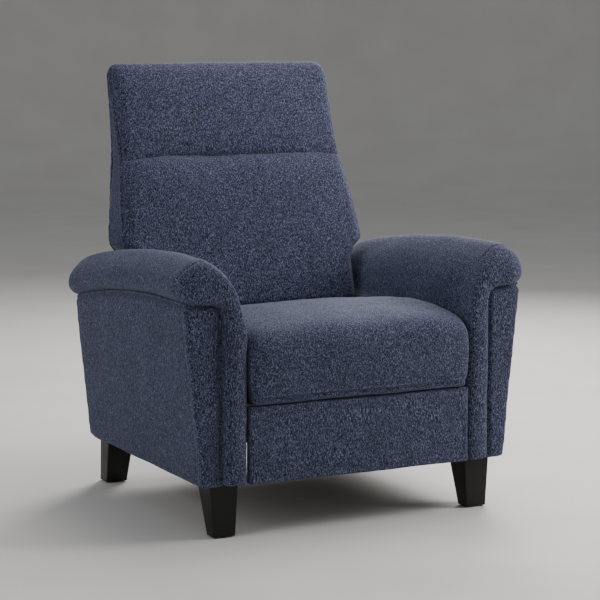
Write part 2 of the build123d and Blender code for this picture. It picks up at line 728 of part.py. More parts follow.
lower_panel = back_slab(back_foot_z, lower_split_z, 0, back_panel_thick, -back_half, back_half)
upper_panel = back_slab(wing_start_z, back_top, 0, back_panel_thick, -far, far) & wing_outline(0, back_top)
keep("back_rear_panel", [lower_panel, upper_panel])

back_bracket_x1 = seat_plate_x0 - layer_gap
back_bracket_x0 = back_bracket_x1 - plate_thick
post_x1 = back_bracket_x0 - seat_gap
post_x0 = post_x1 - back_post_width
frame_top = back_top - 12
post = back_slab(back_foot_z, frame_top, frame_depth0, frame_depth1, post_x0, post_x1)
bracket_screw_zs = (hinge_z + 20, hinge_z + 90)
bracket_screw_depth = frame_depth0 + back_frame_thick / 2
for z in bracket_screw_zs:
    post -= rod_x(rear_y(z) - bracket_screw_depth, z, screw_radius + screw_gap, post_x1 - 20, far)
wing_rail = back_slab(wing_start_z + 3, frame_top, frame_depth0, frame_depth1, post_x1 + seat_gap, far)
wing_rail = wing_rail & wing_outline(wing_frame_inset, frame_top)
rail_half = post_x0 - seat_gap
cross_rails = [back_slab(z, z + 50, frame_depth0, frame_depth1, -rail_half, rail_half)
               for z in (cushion_foot_z, head_seam_z - 25, frame_top - 50)]
keep("back_frame", both_sides(post) + both_sides(wing_rail) + cross_rails)

strap_zs = (cushion_foot_z + 75, cushion_foot_z + 165, cushion_foot_z + 255, head_seam_z + 60)
straps = [back_slab(z, z + strap_width, strap_depth0, strap_depth1, -post_x1 + 8, post_x1 - 8) for z in strap_zs]
keep("back_webbing", straps)

# cushions: a narrow block between the arms, a wide lumbar cushion and a head cushion
lower_foam = prism_x([
    (front_y(cushion_foot_z) + 6, cushion_foot_z), (rear_y(cushion_foot_z) - foam_depth, cushion_foot_z),
    (rear_y(lower_split_z) - foam_depth, lower_split_z), (front_y(lower_split_z) + 2, lower_split_z),
], -back_half, back_half)
keep("lower_back_cushion", [lower_foam])

seam_y = front_y(head_seam_z) + 12
lumbar = prism_x([
    (front_y(wing_start_z) + 2, wing_start_z), (front_y(wing_start_z + 100) - 2, wing_start_z + 100),
    (front_y(head_seam_z - 50) - 4, head_seam_z - 50), (seam_y - 8, head_seam_z - 12),
    (seam_y, head_seam_z - seat_gap), (rear_y(head_seam_z) - foam_depth, head_seam_z - seat_gap),
    (rear_y(wing_start_z) - foam_depth, wing_start_z),
], -far, far)
keep("lumbar_cushion", [lumbar & wing_outline(0, overall_height)])

head = prism_x([
    (seam_y, head_seam_z), (seam_y - 4, head_seam_z + 14), (front_y(head_seam_z + 60) - 3, head_seam_z + 60),
    (front_y(back_top - 70) - 2, back_top - 70), (front_y(back_top - 22) + 1, back_top - 22),
    (front_y(back_top) + 9, back_top), (front_y(overall_height) + 20, overall_height),
    (rear_y(back_top) - foam_depth, overall_height - 4), (rear_y(back_top) - foam_depth, back_top),
    (rear_y(head_seam_z) - foam_depth, head_seam_z),
], -far, far)
keep("head_cushion", [head & wing_outline(0, overall_height)])

slab_front = rear_y(hinge_z) - frame_depth1
bracket_outline = [
    (hinge_y - 11, hinge_z - 9), (hinge_y, hinge_z - 14), (hinge_y + 14, hinge_z - 10), (slab_front, hinge_z - 22),
    (rear_y(hinge_z - 22) - frame_depth0 - 1, hinge_z - 22), (rear_y(hinge_z + 105) - frame_depth0 - 1, hinge_z + 105),
    (rear_y(hinge_z + 105) - frame_depth1, hinge_z + 105), (slab_front, hinge_z + 40),
    (hinge_y + 10, hinge_z + 13), (hinge_y - 8, hinge_z + 12),
]
back_bracket = prism_x(bracket_outline, back_bracket_x0, back_bracket_x1)
back_bracket = bored(back_bracket, back_hinge, hinge_pin_radius + running_gap, back_bracket_x0, back_bracket_x1)
for z in bracket_screw_zs:
    back_bracket = bored(back_bracket, (rear_y(z) - bracket_screw_depth, z), screw_radius + screw_gap,
                         back_bracket_x0, back_bracket_x1)
keep("back_brackets", both_sides(back_bracket))

hinge_pin = pin(back_hinge, hinge_pin_radius, back_bracket_x0 - 1, seat_plate_x1 + 1, seat_plate_x1, seat_plate_x1 + 3)
keep("back_hinge_pins", both_sides(hinge_pin))


def bracket_screw(z):
    """Screw from a back bracket into the wooden post."""
    y = rear_y(z) - bracket_screw_depth
    shank = rod_x(y, z, screw_radius, post_x1 - 19, back_bracket_x1 + 1)
    return shank + rod_x(y, z, screw_head_radius - 1, back_bracket_x1, back_bracket_x1 + 2.5)


keep("back_bracket_screws", [s for z in bracket_screw_zs for s in both_sides(bracket_screw(z))])

# ---- export, centred on the floor ----------------------------------------------------------
centre_y = (rear_y(back_top) - seat_bulge) / 2
os.makedirs("parts", exist_ok=True)
for name, solids in nodes.items():
    placed = [Pos(0, -centre_y, 0) * solid for solid in solids]
    shape = placed[0] if len(placed) == 1 else Compound(placed)
    export_step(shape, "parts/" + name + ".step")
print("nodes", len(nodes), "centre_y", round(centre_y, 3))
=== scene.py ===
"""Push-back recliner armchair in navy chenille: the looks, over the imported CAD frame.

Every upholstered CAD node is stood for by a soft skin. Rough blocks are joined and rounded, and
the skin is then pushed along its normals to crown, seam and crease it. Sizes are in mm: x from
the middle, y back from the plane of the arm fronts, z up from the floor.
"""
import math

import bpy
import numpy as np
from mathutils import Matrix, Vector
from mathutils.bvhtree import BVHTree


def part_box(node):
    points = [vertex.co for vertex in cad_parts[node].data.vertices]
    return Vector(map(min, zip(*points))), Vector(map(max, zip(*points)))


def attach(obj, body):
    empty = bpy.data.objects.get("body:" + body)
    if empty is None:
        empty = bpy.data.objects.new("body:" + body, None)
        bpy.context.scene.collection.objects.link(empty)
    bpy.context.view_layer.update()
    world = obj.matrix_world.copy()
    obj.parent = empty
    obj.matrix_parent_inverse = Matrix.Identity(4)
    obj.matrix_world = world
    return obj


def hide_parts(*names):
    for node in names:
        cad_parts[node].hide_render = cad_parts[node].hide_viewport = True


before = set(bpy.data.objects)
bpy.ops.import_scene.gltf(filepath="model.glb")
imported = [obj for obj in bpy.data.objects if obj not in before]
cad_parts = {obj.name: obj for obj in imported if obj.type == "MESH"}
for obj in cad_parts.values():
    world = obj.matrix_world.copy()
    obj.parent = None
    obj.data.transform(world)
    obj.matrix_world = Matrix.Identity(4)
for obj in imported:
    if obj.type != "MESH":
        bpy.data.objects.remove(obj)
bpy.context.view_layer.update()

# ---- sizes -----------------------------------------------------------------------------------
ARM_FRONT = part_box("arm_pad_right")[0].y
SIDES = {"left": -1, "right": 1}

arm_depth = 676
arm_foot_z = 119
inner_x = 278                  # inner face of an arm
inner_panel_x = 299.7          # outer face of its inner panel
inner_panel_z = 292
outer_foot_x = 382
outer_flare = 0.1003           # how far the outer side leans out for each mm of height
roll_x = 334                   # outer side of the front roll
roll_depth = 40
panel_y = 15                   # the front panel is this far behind the roll's face
hidden_x = roll_x - 8          # where the blocks beside the roll end, inside it

pad_end_y = 682
pad_crest_z = 612
pad_crest_y = 130
pad_arc_radius = 2618
pad_drop = 92                  # crest to the underside of the pad
pad_drape = 182                # crest to the lower edge on the inner face
pad_bend_x = 300               # from here outwards the pad's front end is drawn in
pad_outer_x = 435

seat_half = 276
seat_foot_z = 292
hem_z = 306                    # the seam along the foot of the seat's front
footrest_half = 276
footrest_thick = 21.6
footrest_top_z = 291

back_line_z = 587              # the height at which the back's front and rear are given
back_front_at_line = 569
back_rear_at_line = 698.5
back_front_slope = math.tan(math.radians(20.07))
back_rear_slope = math.tan(math.radians(9.35))
shoulder_z = 800
head_seam_z = 788
back_top_z = 1014

# the pad's outline across the arm: x, and height below its crest
pad_outline = [
    (inner_x, -pad_drape), (283, -150), (289, -118), (298, -80), (309, -53), (322, -34), (336, -20),
    (352, -7), (368, 0), (386, -3), (404, -13), (420, -27), (431, -43), (pad_outer_x, -58),
    (433, -72), (424, -84), (410, -pad_drop),
]


def at(x, y, z):
    """A point of the frame, in metres, from mm."""
    return Vector((x / 1000, ARM_FRONT + y / 1000, z / 1000))


def crest_z(y):
    """Height of the arched pad's crest."""
    return pad_crest_z - (y - pad_crest_y) ** 2 / (2 * pad_arc_radius)


def outer_x(z):
    """The arm's outer side, which flares upwards."""
    return outer_foot_x + (z - arm_foot_z) * outer_flare


def back_front_y(z):
    return back_front_at_line + (z - back_line_z) * back_front_slope


def back_rear_y(z):
    return back_rear_at_line + (z - back_line_z) * back_rear_slope


def along(z, stations):
    """Value at z, between stations of (z, value)."""
    return float(np.interp(z, *zip(*stations)))


def rising(value, start=0.0, length=1.0):
    """0 up to start, then rising to 1 over length."""
    return np.clip((value - start) / length, 0, 1)


def ridge(distance, width):
    """A smooth hump: 1 in its middle, fading over about width."""
    return np.exp(-((distance / width) ** 2))


def rounding(distance, radius):
    """How far a rounded edge has fallen away, at a distance past its start."""
    return radius - math.sqrt(max(0.0, radius ** 2 - distance ** 2))


# ---- mesh tools ------------------------------------------------------------------------------
def mesh_object(name, points, faces):
    mesh = bpy.data.meshes.new(name)
    mesh.from_pydata([tuple(p) for p in points], [], faces)
    obj = bpy.data.objects.new(name, mesh)
    bpy.context.scene.collection.objects.link(obj)
    return obj


def shade_smooth(mesh):
    for polygon in mesh.polygons:
        polygon.use_smooth = True


def loft(rings):
    """Closed skin through rings of equal length, as (points, faces)."""
    n = len(rings[0])
    faces = [tuple(reversed(range(n))), tuple(range((len(rings) - 1) * n, len(rings) * n))]
    for i in range(len(rings) - 1):
        for j in range(n):
            a, b = i * n + j, i * n + (j + 1) % n
            faces.append((a, b, b + n, a + n))
    return [p for ring in rings for p in ring], faces


def turned(profile, turns):
    """Surface turned about z from (radius, height) in metres, as (points, faces)."""
    angles = [i * 2 * math.pi / turns for i in range(turns)]
    points = [(r * math.cos(angle), r * math.sin(angle), z) for r, z in profile for angle in angles]
    faces = [tuple(range(turns))]
    for j in range(len(profile) - 1):
        for i in range(turns):
            a, b = j * turns + i, j * turns + (i + 1) % turns
            faces.append((a, a + turns, b + turns, b))
    return points, faces


def slab_z(outline, z0, z1):
    """Outline of (x, y) points, from z0 to z1."""
    return loft([[at(x, y, z) for x, y in outline] for z in (z0, z1)])


def panel_x(y0, y1, z0, z1, half):
    """Upright panel across the chair, half its width to each side of the middle."""
    outline = [(y0, z0), (y0, z1), (y1, z1), (y1, z0)]
    return loft([[at(x, y, z) for y, z in outline] for x in (-half, half)])


def bake(obj):
    """Applies the object's modifiers."""
    graph = bpy.context.evaluated_depsgraph_get()
    mesh = bpy.data.meshes.new_from_object(obj.evaluated_get(graph))
    obj.modifiers.clear()
    obj.data = mesh


def upholster(name, blocks, voxel=0.005, rounds=16, fine=True):
    """One soft skin over overlapping blocks: their union, with its edges rounded."""
    points, faces = [], []
    for block_points, block_faces in blocks:
        start = len(points)
        points += block_points
        faces += [tuple(i + start for i in face) for face in block_faces]
    obj = mesh_object(name, points, faces)
    remesh = obj.modifiers.new("skin", "REMESH")
    remesh.mode, remesh.voxel_size = "VOXEL", voxel
    soften = obj.modifiers.new("soften", "SMOOTH")
    soften.factor, soften.iterations = 0.5, rounds
    if fine:
        divide = obj.modifiers.new("divide", "SUBSURF")
        divide.levels = divide.render_levels = 1
    bake(obj)
    shade_smooth(obj.data)
    return obj


def vertex_values(obj, kind):
    """The vertices' "co" or "normal", one row each."""
    values = np.zeros(len(obj.data.vertices) * 3)
    obj.data.vertices.foreach_get(kind, values)
    return values.reshape(-1, 3)


def move_vertices(obj, co):
    obj.data.vertices.foreach_set("co", co.ravel())
    obj.data.update()


def push(obj, shape):
    """Moves each vertex along its normal by shape(places in mm, normals), in mm."""
    co, n = vertex_values(obj, "co"), vertex_values(obj, "normal")
    mm = (co - np.array([0, ARM_FRONT, 0])) * 1000
    move_vertices(obj, co + n * shape(mm, n)[:, None] / 1000)


def waves(p, size, seed):
    """Smooth random heights from about -1 to 1: crossing waves about size metres long."""
    random = np.random.default_rng(seed)
    total = np.zeros(len(p))
    for _ in range(14):
        direction = random.normal(size=3)
        direction /= np.linalg.norm(direction)
        length = size * random.uniform(0.7, 1.5)
        total += np.sin(p @ direction * 2 * math.pi / length + random.uniform(0, 2 * math.pi))
    return total / 5


def stuffed(obj, seed, lumps, creases):
    """Uneven filling, and the small creases of cloth over it, both in mm."""
    def shape(mm, n):
        p = mm / 1000
        creased = 0.5 + 0.5 * waves(p, 0.2, seed + 2)
        return lumps * waves(p, 0.16, seed) + creases * waves(p, 0.045, seed + 1) * creased
    push(obj, shape)


def welt(name, points, skin, radius, lift):
    """A sewn seam: a cord under the cloth, along points laid onto the skin."""
    tree = BVHTree.FromObject(skin, bpy.context.evaluated_depsgraph_get())
    laid = []
    for p in points:
        place, normal, _, _ = tree.find_nearest(p)
        laid.append(place + normal * radius * lift / 1000)
    curve = bpy.data.curves.new(name, "CURVE")
    curve.dimensions = "3D"
    curve.bevel_depth, curve.bevel_resolution = radius / 1000, 3
    curve.use_fill_caps = True
    spline = curve.splines.new("NURBS")
    spline.points.add(len(laid) - 1)
    for knot, p in zip(spline.points, laid):
        knot.co = (*p, 1)
    spline.order_u, spline.use_endpoint_u, spline.resolution_u = 3, True, 3
    line = bpy.data.objects.new(name + "_line", curve)
    bpy.context.scene.collection.objects.link(line)
    mesh = bpy.data.meshes.new_from_object(line.evaluated_get(bpy.context.evaluated_depsgraph_get()))
    bpy.data.objects.remove(line)
    obj = bpy.data.objects.new(name, mesh)
    bpy.context.scene.collection.objects.link(obj)
    shade_smooth(mesh)
    return obj


# ---- materials -------------------------------------------------------------------------------
class Finish:
    """A new node material, with short calls that add nodes to it."""

    def __init__(self, name, roughness, metallic=0.0):
        self.material = bpy.data.materials.new(name)
        self.material.use_nodes = True
        self.nodes, self.links = self.material.node_tree.nodes, self.material.node_tree.links
        self.shader = self.nodes["Principled BSDF"]
        self.set("Roughness", roughness)
        self.set("Metallic", metallic)
        self.place = self.nodes.new("ShaderNodeTexCoord").outputs["Object"]

    def set(self, socket, value):
        self.shader.inputs[socket].default_value = value

    def colour(self, output):
        self.links.new(output, self.shader.inputs["Base Color"])

    def noise(self, scale, detail, rough):
        """Noise of about scale cycles a metre along x, y and z."""
        mapping = self.nodes.new("ShaderNodeMapping")
        mapping.inputs["Scale"].default_value = scale
        self.links.new(self.place, mapping.inputs["Vector"])
        node = self.nodes.new("ShaderNodeTexNoise")
        node.inputs["Scale"].default_value = 1.0
        node.inputs["Detail"].default_value = detail
        node.inputs["Roughness"].default_value = rough
        self.links.new(mapping.outputs["Vector"], node.inputs["Vector"])
        return node.outputs["Fac"]

    def ramp(self, value, *stops):
        """Colours by value, from stops of (position, colour)."""
        node = self.nodes.new("ShaderNodeValToRGB")
        while len(node.color_ramp.elements) < len(stops):
            node.color_ramp.elements.new(0.5)
        for element, (position, colour) in zip(node.color_ramp.elements, stops):
            element.position = position
            element.color = (*colour, 1)
        self.links.new(value, node.inputs["Fac"])
        return node.outputs["Color"]

    def blend(self, kind, amount, a, b):
        node = self.nodes.new("ShaderNodeMix")
        node.data_type, node.blend_type = "RGBA", kind
        node.inputs["Factor"].default_value = amount
        self.links.new(a, node.inputs["A"])
        self.links.new(b, node.inputs["B"])
        return node.outputs["Result"]

    def bump(self, height, distance, strength, below=None):
        node = self.nodes.new("ShaderNodeBump")
        node.inputs["Distance"].default_value = distance
        node.inputs["Strength"].default_value = strength
        self.links.new(height, node.inputs["Height"])
        if below is not None:
            self.links.new(below, node.inputs["Normal"])
        self.links.new(node.outputs["Normal"], self.shader.inputs["Normal"])
        return node.outputs["Normal"]

    def spread(self, value, low, high):
        """Roughness between low and high, by noise."""
        node = self.nodes.new("ShaderNodeMapRange")
        node.inputs["From Min"].default_value, node.inputs["From Max"].default_value = 0.3, 0.7
        node.inputs["To Min"].default_value, node.inputs["To Max"].default_value = low, high
        self.links.new(value, node.inputs["Value"])
        self.links.new(node.outputs["Result"], self.shader.inputs["Roughness"])


def chenille(name, slub=(520, 520, 80), shade=0.62):
    """Heathered navy chenille: dark ground, blue yarn, pale flecks and long slubs."""
    made = Finish(name, 0.9)
    yarn = made.noise((480, 480, 250), 2.0, 0.6)
    slubs = made.noise(slub, 2.5, 0.6)
    flecks = made.noise((430, 430, 230), 1.5, 0.5)
    patches = made.noise((11, 11, 8), 3.0, 0.55)
    wear = made.noise((3.2, 3.2, 3.2), 2.0, 0.5)
    black, white = (0, 0, 0), (1.0, 1.0, 1.0)

    def tone(r, g, b):
        return (r * shade, 0.93 * g * shade, b * shade)

    depth = tone(0.003, 0.004, 0.012)
    ground = made.ramp(yarn, (0.43, depth), (0.5, tone(0.022, 0.028, 0.066)),
                       (0.57, tone(0.145, 0.18, 0.315)))
    long_yarn = made.ramp(slubs, (0.43, depth), (0.5, tone(0.022, 0.028, 0.06)),
                          (0.57, tone(0.125, 0.155, 0.25)))
    pale = made.ramp(flecks, (0.54, black), (0.63, tone(0.30, 0.345, 0.47)))
    tweed = made.blend("MIX", 0.5, ground, long_yarn)
    tweed = made.blend("ADD", 0.55, tweed, pale)
    shaded = made.ramp(patches, (0.3, (0.66, 0.68, 0.73)), (0.7, white))
    tweed = made.blend("MULTIPLY", 0.55, tweed, shaded)
    worn = made.ramp(wear, (0.45, black), (0.75, tone(0.05, 0.055, 0.065)))
    made.colour(made.blend("SCREEN", 0.2, tweed, worn))
    made.spread(patches, 0.82, 0.96)
    made.set("Sheen Weight", 0.14)
    made.set("Sheen Roughness", 0.45)
    made.set("Sheen Tint", (0.72, 0.8, 1.0, 1))
    made.set("Specular IOR Level", 0.25)
    coarse = made.bump(slubs, 0.0018, 0.6)
    made.bump(yarn, 0.0013, 0.7, below=coarse)
    return made.material


def painted_wood(name, tone, roughness):
    made = Finish(name, roughness)
    grain = made.noise((260, 260, 9), 4.0, 0.6)
    rub = made.noise((14, 14, 10), 3.0, 0.6)
    paint = made.ramp(grain, (0.3, tone), (0.7, tuple(1.5 * c for c in tone)))
    rubbed = made.ramp(rub, (0.35, (0.75, 0.75, 0.75)), (0.65, (1.1, 1.08, 1.05)))
    made.colour(made.blend("MULTIPLY", 0.7, paint, rubbed))
    made.spread(rub, roughness - 0.06, roughness + 0.12)
    made.set("Specular IOR Level", 0.3)
    made.bump(grain, 0.0004, 0.35)
    return made.material


def raw_wood(name, dark, light, grain_scale):
    made = Finish(name, 0.7)
    grain = made.noise(grain_scale, 5.0, 0.6)
    stain = made.noise((8, 8, 8), 2.0, 0.5)
    wood = made.ramp(grain, (0.3, dark), (0.7, light))
    stained = made.ramp(stain, (0.3, (0.78, 0.76, 0.74)), (0.7, (1, 1, 1)))
    made.colour(made.blend("MULTIPLY", 0.6, wood, stained))
    made.spread(stain, 0.6, 0.8)
    made.bump(grain, 0.0006, 0.4)
    return made.material


def metal(name, dark, light, roughness, metallic=1.0):
    made = Finish(name, roughness, metallic)
    brushed = made.noise((900, 60, 60), 3.0, 0.6)
    smudge = made.noise((22, 22, 22), 3.0, 0.6)
    made.colour(made.ramp(smudge, (0.3, dark), (0.7, light)))
    made.spread(smudge, roughness - 0.08, roughness + 0.14)
    made.bump(brushed, 0.0002, 0.3)
    return made.material


def woven(name, dark, light, roughness=0.85):
    made = Finish(name, roughness)
    fibre = made.noise((700, 700, 700), 3.0, 0.6)
    patch = made.noise((30, 30, 30), 2.0, 0.5)
    threads = made.ramp(fibre, (0.3, dark), (0.7, light))
    faded = made.ramp(patch, (0.3, (0.8, 0.8, 0.8)), (0.7, (1, 1, 1)))
    made.colour(made.blend("MULTIPLY", 0.5, threads, faded))
    made.spread(patch, roughness - 0.08, roughness + 0.08)
    made.bump(fibre, 0.0006, 0.5)
    return made.material


cloth = chenille("navy_chenille")
cloth_flat = chenille("navy_chenille_lying", slub=(520, 80, 520))
# a lighter copy of the same cloth for the seam's cord: a painted highlight along its crest
seam_cloth_painted_highlight = chenille("navy_chenille_seam_painted_highlight", shade=0.8)
finishes = {
    "navy_fabric": cloth,
    "leg_wood": painted_wood("satin_black_wood", (0.0035, 0.0034, 0.0032), 0.42),
    "frame_wood": raw_wood("spruce", (0.13, 0.085, 0.048), (0.25, 0.17, 0.10), (60, 6, 60)),
    "frame_ply": raw_wood("plywood", (0.16, 0.11, 0.065), (0.30, 0.22, 0.135), (10, 60, 60)),
    "steel_black": metal("black_steel", (0.018, 0.018, 0.019), (0.04, 0.04, 0.042), 0.42, 0.7),
    "steel_zinc": metal("zinc_steel", (0.42, 0.43, 0.45), (0.62, 0.63, 0.64), 0.36),
    "insert_brass": metal("brass", (0.45, 0.32, 0.12), (0.62, 0.46, 0.2), 0.35),
    "glide_nylon": woven("nylon", (0.03, 0.03, 0.032), (0.06, 0.06, 0.062), 0.5),
    "webbing": woven("webbing", (0.18, 0.15, 0.11), (0.34, 0.29, 0.22)),
    "deck_felt": woven("felt", (0.05, 0.05, 0.055), (0.11, 0.11, 0.12)),
}
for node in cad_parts.values():
    slot = node.data.materials[0].name.split(".")[0]
    finish = next(finishes[s] for s in finishes if slot.startswith(s))
    for i in range(len(node.data.materials)):
        node.data.materials[i] = finish


def dress(obj, body, *nodes, finish=cloth, fill=None):
    """Gives a soft piece its cloth, its body and the CAD nodes it stands for."""
    obj.data.materials.clear()
    obj.data.materials.append(finish)
    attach(obj, body)
    if nodes:
        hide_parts(*nodes)


# ---- arms ------------------------------------------------------------------------------------
def arm_pad(side):
    """The pad's loft: its front end is rounded in, and it arches along its length."""
    stations = [(0, 34), (5, 22), (13, 11), (24, 4), (roll_depth, 0)]     # y, and the inset there
    stations += [(y, 0) for y in range(60, pad_end_y, 40)] + [(pad_end_y, 4)]
    rings = []
    for y, inset in stations:
        ring = []
        for x, drop in pad_outline + [(roll_x, -pad_drop), (roll_x, -pad_drape)]:
            outward = max(0.0, (x - pad_bend_x) / (pad_outer_x - pad_bend_x))
            up = max(0.0, (drop + pad_drop) / pad_drop)
            ring.append(at(side * (x - inset * outward), y, crest_z(y) + drop - inset * up))
        rings.append(ring)
    return loft(rings)


def arm_wrap(side):
    """Pad, front roll and inner panel under one skin: a J laid over the inner side of the arm."""
    corner, fillet = 11, 24
    roll_top_z, panel_top_z = 470, 440       # both end inside the pad
    panel_front_y = 30                       # and the panel starts inside the roll
    inner = inner_x - 1.5                    # what the rounding takes off again
    under = crest_z(0) - pad_drop
    roll = [(inner, roll_depth), (inner, corner), (inner + corner, 0),
            (roll_x - corner, 0), (roll_x, corner), (roll_x, roll_depth)]
    panel = [(inner_x, panel_front_y), (inner_panel_x, panel_front_y),
             (inner_panel_x, arm_depth), (inner_x, arm_depth)]
    bend = [(hidden_x, under + 8), (roll_x + fillet, under + 8), (roll_x + fillet, under - 1),
            (roll_x + 7, under - 7), (roll_x + 1, under - fillet), (hidden_x, under - fillet)]
    return [
        arm_pad(side),
        slab_z([(side * x, y) for x, y in roll], arm_foot_z + 1, roll_top_z),
        slab_z([(side * x, y) for x, y in panel], inner_panel_z, panel_top_z),
        loft([[at(side * x, y, z) for x, z in bend] for y in (6, roll_depth)]),
    ]


def arm_wrap_shape(side, mm, n):
    """The pad's end seam and crown, the roll's fullness, and small pulls where they meet."""
    x, y, z = side * mm[:, 0], mm[:, 1], mm[:, 2]
    on_pad = rising(z, 430, 60)
    end_seam_y = 31 + 10 * ((x - 352) / 80) ** 2
    end_seam = -2.4 * ridge(y - end_seam_y, 3.2) * rising(z, 500, 25) * rising(x, 312, 20)
    crown = 2.2 * on_pad * rising(n[:, 2])
    fullness = 1.6 * ridge(x - (inner_x + roll_x) / 2, 22) * rising(-n[:, 1]) * (1 - on_pad)
    pulls = 0.7 * np.sin(y / 9 + z / 14) * ridge(y - 16, 16) * ridge(z - 535, 34)
    return end_seam + crown + fullness + pulls


def arm_side(side):
    """Front panel, outer panel and rear panel: the box under the pad."""
    rings = []
    for y in [panel_y, roll_depth, 54, 66, *range(100, arm_depth, 48), arm_depth]:
        top = crest_z(y) - pad_drop + 3
        inner = hidden_x if y < 60 else inner_panel_x + 0.8
        foot = arm_foot_z - 2.5 + (6 if y == arm_depth else 0)
        section = [(inner, foot), (outer_x(foot), foot), (outer_x(320), 320),
                   (outer_x(top), top), (inner, top)]
        rings.append([at(side * x, y, z) for x, z in section])
    return [loft(rings)]


def arm_side_shape(side, mm, n):
    """Grooves where the panels meet the roll, the pad and each other."""
    x, y, z = side * mm[:, 0], mm[:, 1], mm[:, 2]
    forward, outward = rising(-n[:, 1]), rising(n[:, 0] * side)
    beside_roll = -7.0 * ridge(x - 337, 5.5) * forward
    under_pad = -6.0 * ridge(z - (crest_z(20) - pad_drop - 3), 7) * forward
    below_pad = -6.0 * ridge(z - (crest_z(y) - pad_drop - 4), 7) * outward
    corner = -1.6 * ridge(y - 38, 6) * outward
    return beside_roll + under_pad + below_pad + corner


for hand, side in SIDES.items():
    wrap = upholster(f"arm_wrap_{hand}", arm_wrap(side))
    push(wrap, lambda mm, n: arm_wrap_shape(side, mm, n))
    stuffed(wrap, 10 + side, lumps=1.1, creases=0.55)
    dress(wrap, "base", f"arm_pad_{hand}", f"arm_front_roll_{hand}", f"arm_inner_panel_{hand}",
          fill=0.85)

    cover = upholster(f"arm_side_cover_{hand}", arm_side(side), rounds=10)
    push(cover, lambda mm, n: arm_side_shape(side, mm, n))
    stuffed(cover, 20 + side, lumps=0.9, creases=0.35)
    dress(cover, "base", f"arm_front_panel_{hand}", f"arm_outer_panel_{hand}",
          f"arm_rear_panel_{hand}", fill=0.9)

# ---- seat ------------------------------------------------------------------------------------
# y and z, from the foot of the front, over the top and back along the underside
seat_outline = [
    (29, seat_foot_z), (-1, seat_foot_z), (-7, 299), (-9, 316), (-11, 340), (-12, 372), (-12, 402),
    (-9, 424), (-1, 441), (12, 452), (34, 460), (70, 467), (130, 473), (190, 475), (290, 467),
    (400, 450), (490, 440), (508, 429), (504, 404), (478, 356), (440, 354.5), (60, 354.5),
    (29, 354.5),
]
# distance from the middle, and how much lower the top's edge is there
seat_edge = [(seat_half, 20), (268, 12), (254, 6), (232, 2), (190, 0)]
# the seat's front narrows to its foot: height, and share of its width
seat_narrowing = [(seat_foot_z, 0.962), (hem_z, 0.976), (335, 0.993), (365, 1.0)]


def seat_ring(x, drop):
    ring = []
    for y, z in seat_outline:
        upper = rising(z, 380, 60) * max(0.25, min(1.0, (520 - y) / 120))
        front = rising(40 - y, 0, 50) * rising(z, 300, 60)
        ring.append(at(x * along(z, seat_narrowing), y + drop * 0.6 * front, z - drop * upper))
    return ring


def seat_shape(mm, n):
    """The seat's crown, its full front, and the groove of the hem."""
    x, y, z = mm.T
    u = x / seat_half
    crown = 7 * (1 - u ** 2) * rising(n[:, 2]) * rising(z, 430, 30) * ridge(y - 190, 190)
    full_front = 3.5 * (1 - u ** 4) * rising(-n[:, 1]) * ridge(z - 395, 60)
    hem = -3.2 * ridge(z - hem_z, 4.5) * rising(-n[:, 1] * 1.5)
    return crown + full_front + hem


seat_stations = [(-x, drop) for x, drop in seat_edge] + [(0, 0)] + seat_edge[::-1]
seat = upholster("seat_cover", [loft([seat_ring(x, drop) for x, drop in seat_stations])], rounds=14)
push(seat, seat_shape)
stuffed(seat, 31, lumps=1.5, creases=0.6)
dress(seat, "seat", "seat_cushion", "seat_front_border", finish=cloth_flat, fill=0.85)


# ---- footrest --------------------------------------------------------------------------------
def footrest_shape(mm, n):
    """A front a little fuller in its middle."""
    x, _, z = mm.T
    return 3.0 * rising(-n[:, 1]) * (1 - (x / footrest_half) ** 4) * (1 - ((z - 205) / 90) ** 2)


footrest_block = panel_x(0, footrest_thick, arm_foot_z, footrest_top_z, footrest_half)
footrest = upholster("footrest_cover", [footrest_block], voxel=0.004, rounds=5)
push(footrest, footrest_shape)
stuffed(footrest, 41, lumps=0.5, creases=0.35)
dress(footrest, "footrest", "footrest_pad", fill=0.8)

# ---- back ------------------------------------------------------------------------------------
# half width by height: narrow between the arms, flared just above them, straight at the head
back_width = [
    (440, 275), (530, 279), (552, 289), (562, 301), (570, 313), (578, 319), (600, 320),
    (shoulder_z, 297), (830, 295), (2000, 295),
]
# how far a cushion's middle stands ahead of its slope, by height
lumbar_crown = [
    (430, 0), (440, 6), (500, 13), (580, 17), (690, 21), (740, 22), (765, 17), (780, 10),
    (head_seam_z, 1), (793, -9),
]
head_crown = [(781, -11), (789, -1), (800, 7), (840, 14), (900, 16), (960, 14), (990, 9), (back_top_z, 0)]


def back_ring(z, crown, retreat=0.0, tuck=0.0):
    """Outline of the back at a height: a crowned front, rounded front corners and a flat rear."""
    half = along(z, back_width) - tuck
    front, rear = back_front_y(z) + retreat, back_rear_y(z) - 5
    ring = []
    for u in np.linspace(-1, 1, 33):
        corner = 20 * rounding(max(0.0, abs(u) - 0.9) / 0.1, 1)
        depth = min(front + corner - crown * (1 - abs(u) ** 2.4), rear - 12)
        ring.append(at(u * half, depth, z))
    rear_outline = [(half, rear - 8), (half - 6, rear), (-half + 6, rear), (-half, rear - 8)]
    return ring + [at(x, y, z) for x, y in rear_outline]


def band_seam(mm, n):
    """The sewn seam that joins a cushion's front to the band round its side."""
    behind = mm[:, 1] - back_front_y(mm[:, 2]) - 24
    groove = -4.2 * ridge(behind, 3.8) + 1.8 * ridge(behind + 8, 4.5) + 1.2 * ridge(behind - 8, 4.5)
    return groove * rising(np.abs(n[:, 0]) * 2 - 0.8)


def dip_ends(obj):
    """The seam between the two cushions sinks at its ends."""
    co = vertex_values(obj, "co")
    z, u = co[:, 2] * 1000, np.abs(co[:, 0]) / 0.3
    co[:, 2] -= 0.008 * rising(u, 0.62, 0.3) ** 2 * ridge(z - head_seam_z, 45)
    move_vertices(obj, co)


